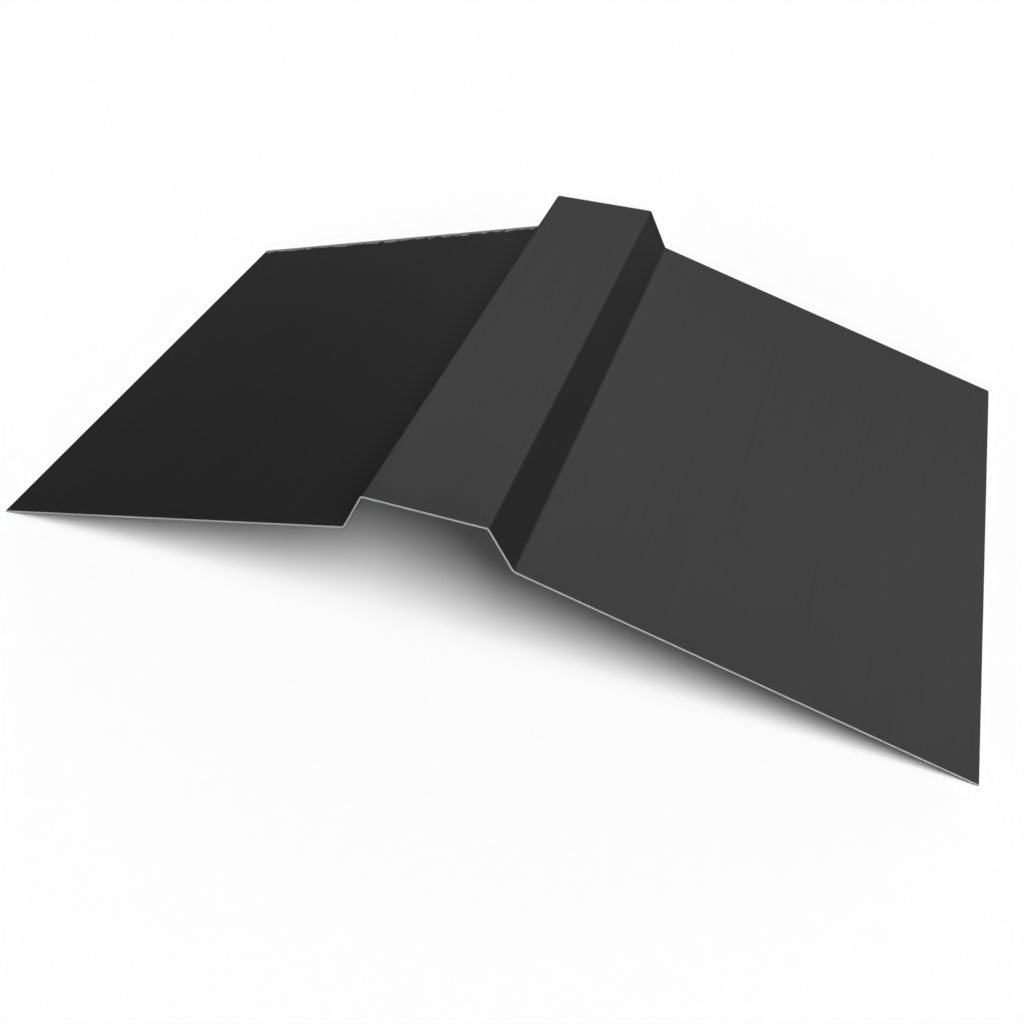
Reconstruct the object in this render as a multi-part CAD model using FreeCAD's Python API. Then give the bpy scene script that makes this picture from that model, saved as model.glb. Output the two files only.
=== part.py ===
# Raised ridge cap for a metal roof: one strip of painted sheet, folded to a flat crown and two plain wings.
# X runs across the roof, Y along the ridge and Z up; the cap lies on its two outer edges.

import FreeCAD, Part
import os
from math import atan2, cos, radians, sin, tan
from FreeCAD import Vector

# Driving dimensions, in mm and degrees
SHEET = 0.8
LENGTH = 267.0
CROWN_WIDTH = 55.2
CROWN_RISE = 21.2
RISER_SLOPE = 63.6
WING_WIDTH = 202.6
WING_SLOPE = 15.6

# Bend radii, each on the hollow side of its bend
CROWN_BEND = 1.0
FOOT_BEND = 2.0


def painted_corners():
    """Sharp corners of the painted face, from the left outer edge over the crown to the right one."""
    top = Vector(CROWN_WIDTH / 2, 0, 0)
    foot = top + Vector(CROWN_RISE / tan(radians(RISER_SLOPE)), 0, -CROWN_RISE)
    fall = radians(WING_SLOPE)
    tip = foot + Vector(WING_WIDTH * cos(fall), 0, -WING_WIDTH * sin(fall))
    right = [top, foot, tip]
    left = [Vector(-p.x, 0, p.z) for p in reversed(right)]
    return left + right


def directions(corners):
    """Unit direction of each leg of the strip, in order."""
    return [(b - a).normalize() for a, b in zip(corners, corners[1:])]


def turns(corners):
    """Bend angle at each inner corner; a left turn is positive and has its hollow on the painted side."""
    legs = directions(corners)
    return [atan2(a.x * b.z - a.z * b.x, a.dot(b)) for a, b in zip(legs, legs[1:])]


def underside_corners(corners):
    """Sharp corners of the face one sheet thickness below the given one."""
    normals = [Vector(d.z, 0, -d.x) for d in directions(corners)]
    shifts = [normals[0]]
    for a, b in zip(normals, normals[1:]):
        shifts.append((a + b) * (1 / (1 + a.dot(b))))
    shifts.append(normals[-1])
    return [corner + shift * SHEET for corner, shift in zip(corners, shifts)]


def folded_edges(corners, radii):
    """Straight legs joined by tangent arcs, one radius for each inner corner."""
    legs = directions(corners)
    edges = []
    start = corners[0]
    for i, (turn, radius) in enumerate(zip(turns(corners), radii)):
        corner = corners[i + 1]
        half = abs(turn) / 2
        reach = radius * tan(half)
        bend_start = corner - legs[i] * reach
        bend_end = corner + legs[i + 1] * reach
        inward = (legs[i + 1] - legs[i]).normalize()
        bend_middle = corner + inward * (radius / cos(half) - radius)
        edges.append(Part.LineSegment(start, bend_start).toShape())
        edges.append(Part.Arc(bend_start, bend_middle, bend_end).toShape())
        start = bend_end
    edges.append(Part.LineSegment(start, corners[-1]).toShape())
    return edges


def section():
    """The folded strip seen from its end: the painted face, the underside and two square-cut edges."""
    above = painted_corners()
    below = underside_corners(above)
    hollow_radii = [FOOT_BEND, CROWN_BEND, CROWN_BEND, FOOT_BEND]
    bends = list(zip(hollow_radii, turns(above)))
    above_radii = [r if turn > 0 else r + SHEET for r, turn in bends]
    below_radii = [r + SHEET if turn > 0 else r for r, turn in bends]
    outline = folded_edges(above, above_radii) + folded_edges(below, below_radii)
    for upper, lower in zip((above[0], above[-1]), (below[0], below[-1])):
        outline.append(Part.LineSegment(upper, lower).toShape())
    return Part.Face(Part.Wire(Part.__sortEdges__(outline)))


def ridge_cap():
    """The section run along the ridge, set down on the floor and centred."""
    cap = section().extrude(Vector(0, LENGTH, 0))
    box = cap.BoundBox
    cap.translate(Vector(-box.Center.x, -box.Center.y, -box.ZMin))
    return cap


os.makedirs("parts", exist_ok=True)
ridge_cap().exportStep("parts/ridge_cap.step")
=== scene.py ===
# Looks of the raised ridge cap: the folded sheet, its three finishes, a pale studio and the camera.
# Everything is in metres, in the part's own frame: X across the roof, Y along the ridge, Z up.

from math import cos, radians, sin, tan

import bmesh
import bpy
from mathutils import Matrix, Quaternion, Vector


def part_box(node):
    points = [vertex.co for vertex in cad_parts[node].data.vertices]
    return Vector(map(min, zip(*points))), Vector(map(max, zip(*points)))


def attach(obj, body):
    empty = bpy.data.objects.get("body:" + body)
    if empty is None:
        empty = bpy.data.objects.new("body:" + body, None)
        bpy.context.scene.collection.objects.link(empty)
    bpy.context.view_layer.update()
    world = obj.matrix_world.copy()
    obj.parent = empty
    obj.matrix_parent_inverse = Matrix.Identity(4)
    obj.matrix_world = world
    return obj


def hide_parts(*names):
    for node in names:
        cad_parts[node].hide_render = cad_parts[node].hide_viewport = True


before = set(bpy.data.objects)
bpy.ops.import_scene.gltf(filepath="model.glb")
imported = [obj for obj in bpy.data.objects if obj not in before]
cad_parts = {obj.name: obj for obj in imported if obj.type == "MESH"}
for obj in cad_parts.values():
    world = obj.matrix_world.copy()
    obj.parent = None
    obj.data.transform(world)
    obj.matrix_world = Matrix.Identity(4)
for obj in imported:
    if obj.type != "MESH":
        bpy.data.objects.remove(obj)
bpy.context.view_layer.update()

MM = 0.001
WHITE = (1, 1, 1, 1)

# Section of the sheet, as in the part's own source
SHEET = 0.8 * MM
CROWN_WIDTH = 55.2 * MM
CROWN_RISE = 21.2 * MM
RISER_SLOPE = radians(63.6)
WING_WIDTH = 202.6 * MM
WING_SLOPE = radians(15.6)
CROWN_BEND = 1.0 * MM
FOOT_BEND = 2.0 * MM

# Facets in each bend, and how far the shear rolls the painted face over and drops it along every cut
BEND_FACETS = 10
SHEAR_ROLL = 0.3 * MM
SHEAR_DROP = 0.12 * MM

# Pull of the large flat faces on the shading at the bends, from 1 to 100
FLAT_PULL = 100

# Finishes of the sheet's mesh, and the one that each side of a ring round the sheet has
PAINT, BACKING, CUT = range(3)
RING_FINISHES = [PAINT, CUT, CUT, CUT, BACKING, CUT, CUT, CUT]

# Charcoal coating: streaks along the strip vary its grey and blotches its roughness, over a fine orange peel
PAINT_STREAK = (2.5 * MM, 300 * MM, 2.5 * MM)
PAINT_GREYS = (0.0145, 0.0157)
PAINT_BLOTCH = (25 * MM, 40 * MM, 25 * MM)
PAINT_ROUGHNESS = (0.405, 0.435)
PAINT_PEEL = [0.9 * MM] * 3
PAINT_RELIEF = 0.008 * MM
PAINT_SPECULAR = 0.004

# Pale ragged strip along the left wing's far end: rubbed coating, and a painted highlight of that edge
RUB_AND_HIGHLIGHT_WIDTH = 3.4 * MM
RUB_AND_HIGHLIGHT_RAGGED = 3.2 * MM
RUB_AND_HIGHLIGHT_FADE = 0.3 * MM
RUB_AND_HIGHLIGHT_GRAIN = (5 * MM, 2.5 * MM, 5 * MM)
RUB_AND_HIGHLIGHT_GREYS = (0.23, 0.17)

# Backing coat, rolled on along the strip
BACKING_STREAK = (1.5 * MM, 120 * MM, 1.5 * MM)
BACKING_GREYS = (0.07, 0.09)
BACKING_ROUGHNESS = (0.5, 0.62)
BACKING_RELIEF = 0.006 * MM
BACKING_SPECULAR = 0.035

# Sheared edges, torn in fine grains
CUT_GRAIN = [0.35 * MM] * 3
CUT_GREYS = (0.23, 0.37)
CUT_ROUGHNESS = (0.65, 0.5)
CUT_RELIEF = 0.02 * MM
CUT_SPECULAR = 0.035

# Every noise: its detail, and the two values between which most of it lies
NOISE_DETAIL = 3.0
NOISE_RANGE = (0.3, 0.7)

# Floor, with no gloss
FLOOR_HALF = 12.0
FLOOR_GREY = 0.95
FLOOR_ROUGHNESS = 0.9
FLOOR_SPECULAR = 0.0

# Camera, from the fit to the photograph's edges: it looks along the ridge, turned left and tilted down
CAMERA_PLACE = (0.12714, -0.38928, 0.35838)
CAMERA_TURN = radians(19.33)
CAMERA_TILT = radians(44.83)
CAMERA_LENS = 35.41
CAMERA_NEAR = 0.01

# Lamps: a soft key from the camera's right, and a wide soft box past each end that shows in gloss alone
KEY_AZIMUTH = 124.0
KEY_ELEVATION = 54.0
KEY_SPREAD = 40.0
KEY_STRENGTH = 3.57
BOX_DISTANCE = 3.0
BOX_WIDTH = 5.1
BOX_HEIGHT = 2.1
BOX_ROLL = 19.0
FAR_BOX_AZIMUTH = 21.0
FAR_BOX_ELEVATION = 56.0
FAR_BOX_POWER = 3300.0
NEAR_BOX_AZIMUTH = 165.0
NEAR_BOX_ELEVATION = 40.0
NEAR_BOX_POWER = 1200.0

# Room: white walls all round that fade to a dim ceiling, between two heights on a dome of radius one
WALL_STRENGTH = 1.0
CEILING_STRENGTH = 0.06
WALL_FADE = (0.22, 0.32)


def folded_face(top):
    """Points and headings along the painted face, from one outer edge over the crown to the other."""
    legs = [CROWN_WIDTH / 2, CROWN_RISE / sin(RISER_SLOPE), WING_WIDTH]
    bends = [(-RISER_SLOPE, CROWN_BEND + SHEET), (RISER_SLOPE - WING_SLOPE, FOOT_BEND)]
    reaches = [0] + [radius * tan(abs(turn) / 2) for turn, radius in bends] + [SHEAR_DROP]
    x, z, heading = 0.0, top, 0.0
    right = []
    for i, leg in enumerate(legs):
        straight = leg - reaches[i] - reaches[i + 1]
        x += straight * cos(heading)
        z += straight * sin(heading)
        right.append((x, z, heading))
        if i == len(bends):
            break
        turn = bends[i][0] / BEND_FACETS
        chord = 2 * bends[i][1] * sin(abs(turn) / 2)
        for _ in range(BEND_FACETS):
            x += chord * cos(heading + turn / 2)
            z += chord * sin(heading + turn / 2)
            heading += turn
            right.append((x, z, heading))
    left = [(-x, z, -heading) for x, z, heading in reversed(right)]
    return left + right


def ring_places(low, high):
    """Corners round the sheet, seen along the strip's width: (y, depth below the painted face)."""
    top = [(low.y + SHEAR_ROLL, 0), (high.y - SHEAR_ROLL, 0)]
    far = [(high.y, SHEAR_DROP), (high.y, SHEET - SHEAR_DROP)]
    under = [(high.y - SHEAR_DROP, SHEET), (low.y + SHEAR_DROP, SHEET)]
    near = [(low.y, SHEET - SHEAR_DROP), (low.y, SHEAR_DROP)]
    return top + far + under + near


def add_vertex(bm, place, y, depth, beyond=0.0):
    """A vertex some depth below a place on the painted face, and some way beyond it across the strip."""
    x, z, heading = place
    x += depth * sin(heading) + beyond * cos(heading)
    z += beyond * sin(heading) - depth * cos(heading)
    return bm.verts.new((x, y, z))


def add_strips(bm, rings):
    """Faces from each ring round the sheet to the next, with a sharp edge along every corner."""
    for ring, following in zip(rings, rings[1:]):
        for j, finish in enumerate(RING_FINISHES):
            k = (j + 1) % len(ring)
            strip = bm.faces.new((ring[j], following[j], following[k], ring[k]))
            strip.material_index = finish
            bm.edges.get((ring[j], following[j])).smooth = False


def add_outer_edge(bm, place, ring, ends, outward):
    """The sheared edge that closes the sheet at one side, between the two ends of the strip."""
    depths = (SHEAR_DROP, SHEET - SHEAR_DROP)
    corners = [(y, depths[0]) for y in ends] + [(y, depths[1]) for y in reversed(ends)]
    tip = [add_vertex(bm, place, y, depth, outward * SHEAR_DROP) for y, depth in corners]
    faces = [bm.faces.new(tip[::-outward])]
    # Each corner of the tip meets two corners of the ring
    for j in range(len(ring)):
        k = (j + 1) % len(ring)
        here = tip[(j + 1) // 2 % len(tip)]
        after = tip[(k + 1) // 2 % len(tip)]
        around = [ring[j], here, ring[k]] if here is after else [ring[j], here, after, ring[k]]
        faces.append(bm.faces.new(around[::outward]))
    for face in faces:
        face.material_index = CUT
        for edge in face.edges:
            edge.smooth = False


def sheet_mesh(low, high):
    """The folded sheet between the two ends of the box, rolled over a little along every sheared edge."""
    bm = bmesh.new()
    line = folded_face(high.z)
    corners = ring_places(low, high)
    rings = [[add_vertex(bm, place, y, depth) for y, depth in corners] for place in line]
    add_strips(bm, rings)
    ends = (corners[0][0], corners[1][0])
    add_outer_edge(bm, line[0], rings[0], ends, -1)
    add_outer_edge(bm, line[-1], rings[-1], ends, 1)
    for face in bm.faces:
        face.smooth = True
    mesh = bpy.data.meshes.new("ridge_cap_sheet")
    bm.to_mesh(mesh)
    bm.free()
    return mesh


def new_material(name):
    """A node material, its tree and its Principled shader."""
    material = bpy.data.materials.new(name)
    material.use_nodes = True
    return material, material.node_tree, material.node_tree.nodes["Principled BSDF"]


def add_node(tree, kind, values, links):
    """A node with these socket values, fed by these outputs, each given by the socket's name."""
    node = tree.nodes.new(kind)
    for name, value in values.items():
        node.inputs[name].default_value = value
    for name, output in links.items():
        tree.links.new(output, node.inputs[name])
    return node


def object_place(tree):
    """The place on the object, in its own frame."""
    return tree.nodes.new("ShaderNodeTexCoord").outputs["Object"]


def noise(tree, sizes):
    """Noise over the object whose blotches have these sizes along X, Y and Z."""
    per_size = {"Scale": [1 / size for size in sizes]}
    fitted = add_node(tree, "ShaderNodeMapping", per_size, {"Vector": object_place(tree)}).outputs["Vector"]
    values = {"Scale": 1.0, "Detail": NOISE_DETAIL}
    return add_node(tree, "ShaderNodeTexNoise", values, {"Vector": fitted}).outputs["Fac"]


def spread(tree, value, source, target):
    """The value carried from one range to another and held at its ends."""
    limits = {"From Min": source[0], "From Max": source[1], "To Min": target[0], "To Max": target[1]}
    return add_node(tree, "ShaderNodeMapRange", limits, {"Value": value}).outputs["Result"]


def combine(tree, operation, first, second):
    """Two outputs joined by an operation, such as a sum or a product."""
    node = tree.nodes.new("ShaderNodeMath")
    node.operation = operation
    for socket, output in zip(node.inputs, (first, second)):
        tree.links.new(output, socket)
    return node.outputs["Value"]


def dress(tree, shader, grey, roughness, height, relief, specular):
    """Gives the shader its grey, its roughness, its relief of the given depth and its gloss."""
    bump = add_node(tree, "ShaderNodeBump", {"Distance": relief}, {"Height": height})
    tree.links.new(grey, shader.inputs["Base Color"])
    tree.links.new(roughness, shader.inputs["Roughness"])
    tree.links.new(bump.outputs["Normal"], shader.inputs["Normal"])
    shader.inputs["Specular IOR Level"].default_value = specular


def rub_and_highlight_share(tree, rub_and_highlight_grain, far_end):
    """One on the strip of rubbed coating and painted highlight at the left wing's far end, else nought."""
    place = add_node(tree, "ShaderNodeSeparateXYZ", {}, {"Vector": object_place(tree)}).outputs
    ragged = spread(tree, rub_and_highlight_grain, NOISE_RANGE, (-RUB_AND_HIGHLIGHT_RAGGED / 2, RUB_AND_HIGHLIGHT_RAGGED / 2))
    shifted = combine(tree, "ADD", place["Y"], ragged)
    border = far_end - RUB_AND_HIGHLIGHT_WIDTH
    foot = CROWN_WIDTH / 2 + CROWN_RISE / tan(RISER_SLOPE)
    at_end = spread(tree, shifted, (border, border + RUB_AND_HIGHLIGHT_FADE), (0.0, 1.0))
    on_left = spread(tree, place["X"], (-foot, -foot - RUB_AND_HIGHLIGHT_FADE), (0.0, 1.0))
    return combine(tree, "MULTIPLY", at_end, on_left)


def painted_material(far_end):
    """Matt charcoal coil coating, with a far-end strip of rubbed coating and painted highlight."""
    material, tree, shader = new_material("charcoal_coating")
    rub_and_highlight_grain = noise(tree, RUB_AND_HIGHLIGHT_GRAIN)
    # The strip's pale grey stands for rubbed coating and also paints a highlight along the far edge
    greys = {
        "Factor": rub_and_highlight_share(tree, rub_and_highlight_grain, far_end),
        "A": spread(tree, noise(tree, PAINT_STREAK), NOISE_RANGE, PAINT_GREYS),
        "B": spread(tree, rub_and_highlight_grain, NOISE_RANGE, RUB_AND_HIGHLIGHT_GREYS),
    }
    grey = add_node(tree, "ShaderNodeMix", {}, greys).outputs["Result"]
    roughness = spread(tree, noise(tree, PAINT_BLOTCH), NOISE_RANGE, PAINT_ROUGHNESS)
    dress(tree, shader, grey, roughness, noise(tree, PAINT_PEEL), PAINT_RELIEF, PAINT_SPECULAR)
    return material


def backing_material():
    """Thin dark grey backing coat on the underside."""
    material, tree, shader = new_material("backing_coat")
    streaks = noise(tree, BACKING_STREAK)
    grey = spread(tree, streaks, NOISE_RANGE, BACKING_GREYS)
    roughness = spread(tree, streaks, NOISE_RANGE, BACKING_ROUGHNESS)
    dress(tree, shader, grey, roughness, streaks, BACKING_RELIEF, BACKING_SPECULAR)
    return material


def cut_material():
    """Dull zinc grey of the sheared edges."""
    material, tree, shader = new_material("sheared_edge")
    grains = noise(tree, CUT_GRAIN)
    grey = spread(tree, grains, NOISE_RANGE, CUT_GREYS)
    roughness = spread(tree, grains, NOISE_RANGE, CUT_ROUGHNESS)
    dress(tree, shader, grey, roughness, grains, CUT_RELIEF, CUT_SPECULAR)
    return material


def make_cap(low, high):
    """The ridge cap's visual piece, in place of its plain solid."""
    mesh = sheet_mesh(low, high)
    for material in (painted_material(high.y), backing_material(), cut_material()):
        mesh.materials.append(material)
    cap = bpy.data.objects.new("folded_sheet", mesh)
    bpy.context.scene.collection.objects.link(cap)
    smooth = cap.modifiers.new("flat faces stay flat", "WEIGHTED_NORMAL")
    smooth.keep_sharp = True
    smooth.weight = FLAT_PULL
    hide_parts("ridge_cap")
    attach(cap, "root")


def make_floor():
    """Plain pale floor."""
    material, _, shader = new_material("pale_floor")
    shader.inputs["Base Color"].default_value = (FLOOR_GREY, FLOOR_GREY, FLOOR_GREY, 1)
    shader.inputs["Roughness"].default_value = FLOOR_ROUGHNESS
    shader.inputs["Specular IOR Level"].default_value = FLOOR_SPECULAR
    mesh = bpy.data.meshes.new("floor")
    corners = [(FLOOR_HALF * x, FLOOR_HALF * y, 0) for x, y in ((-1, -1), (1, -1), (1, 1), (-1, 1))]
    mesh.from_pydata(corners, [], [range(len(corners))])
    mesh.materials.append(material)
    floor = bpy.data.objects.new("floor", mesh)
    bpy.context.scene.collection.objects.link(floor)


def direction_to(azimuth, elevation):
    """Unit vector towards a place seen at that azimuth, from +Y towards +X, and elevation, in degrees."""
    a, e = radians(azimuth), radians(elevation)
    return Vector((sin(a) * cos(e), cos(a) * cos(e), sin(e)))


def add_lamp(name, kind, towards, distance=1.0, roll=0.0):
    """A lamp that shines at the middle of the cap from the given direction, out of the camera's sight."""
    data = bpy.data.lights.new(name, kind)
    lamp = bpy.data.objects.new(name, data)
    lamp.location = towards * distance
    turn = Quaternion((0, 0, 1), radians(roll))
    lamp.rotation_euler = (towards.to_track_quat("Z", "Y") @ turn).to_euler()
    lamp.visible_camera = False
    bpy.context.scene.collection.objects.link(lamp)
    return lamp


def add_soft_box(name, azimuth, elevation, power):
    """A wide soft box that gloss reflects, with no light on matt surfaces."""
    box = add_lamp(name, "AREA", direction_to(azimuth, elevation), BOX_DISTANCE, BOX_ROLL)
    box.data.shape = "RECTANGLE"
    box.data.size = BOX_WIDTH
    box.data.size_y = BOX_HEIGHT
    box.data.energy = power
    box.visible_diffuse = False


def make_lamps():
    """The soft key, and the soft boxes whose reflections make the crown and one wing paler."""
    key = add_lamp("key", "SUN", direction_to(KEY_AZIMUTH, KEY_ELEVATION))
    key.data.energy = KEY_STRENGTH
    key.data.angle = radians(KEY_SPREAD)
    add_soft_box("far_box", FAR_BOX_AZIMUTH, FAR_BOX_ELEVATION, FAR_BOX_POWER)
    add_soft_box("near_box", NEAR_BOX_AZIMUTH, NEAR_BOX_ELEVATION, NEAR_BOX_POWER)


def make_room():
    """White walls and a dim ceiling, far away."""
    world = bpy.data.worlds.new("room")
    bpy.context.scene.world = world
    world.use_nodes = True
    tree = world.node_tree
    towards = tree.nodes.new("ShaderNodeTexCoord").outputs["Generated"]
    height = add_node(tree, "ShaderNodeSeparateXYZ", {}, {"Vector": towards}).outputs["Z"]
    strength = spread(tree, height, WALL_FADE, (WALL_STRENGTH, CEILING_STRENGTH))
    background = tree.nodes["Background"].inputs
    background["Color"].default_value = WHITE
    tree.links.new(strength, background["Strength"])


def make_camera():
    """The photograph's viewpoint."""
    data = bpy.data.cameras.new("camera")
    data.lens = CAMERA_LENS
    data.clip_start = CAMERA_NEAR
    camera = bpy.data.objects.new("camera", data)
    camera.location = CAMERA_PLACE
    camera.rotation_euler = (radians(90) - CAMERA_TILT, 0, CAMERA_TURN)
    bpy.context.scene.collection.objects.link(camera)
    bpy.context.scene.camera = camera


bpy.context.scene.view_settings.view_transform = "Standard"
make_cap(*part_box("ridge_cap"))
make_floor()
make_lamps()
make_room()
make_camera()
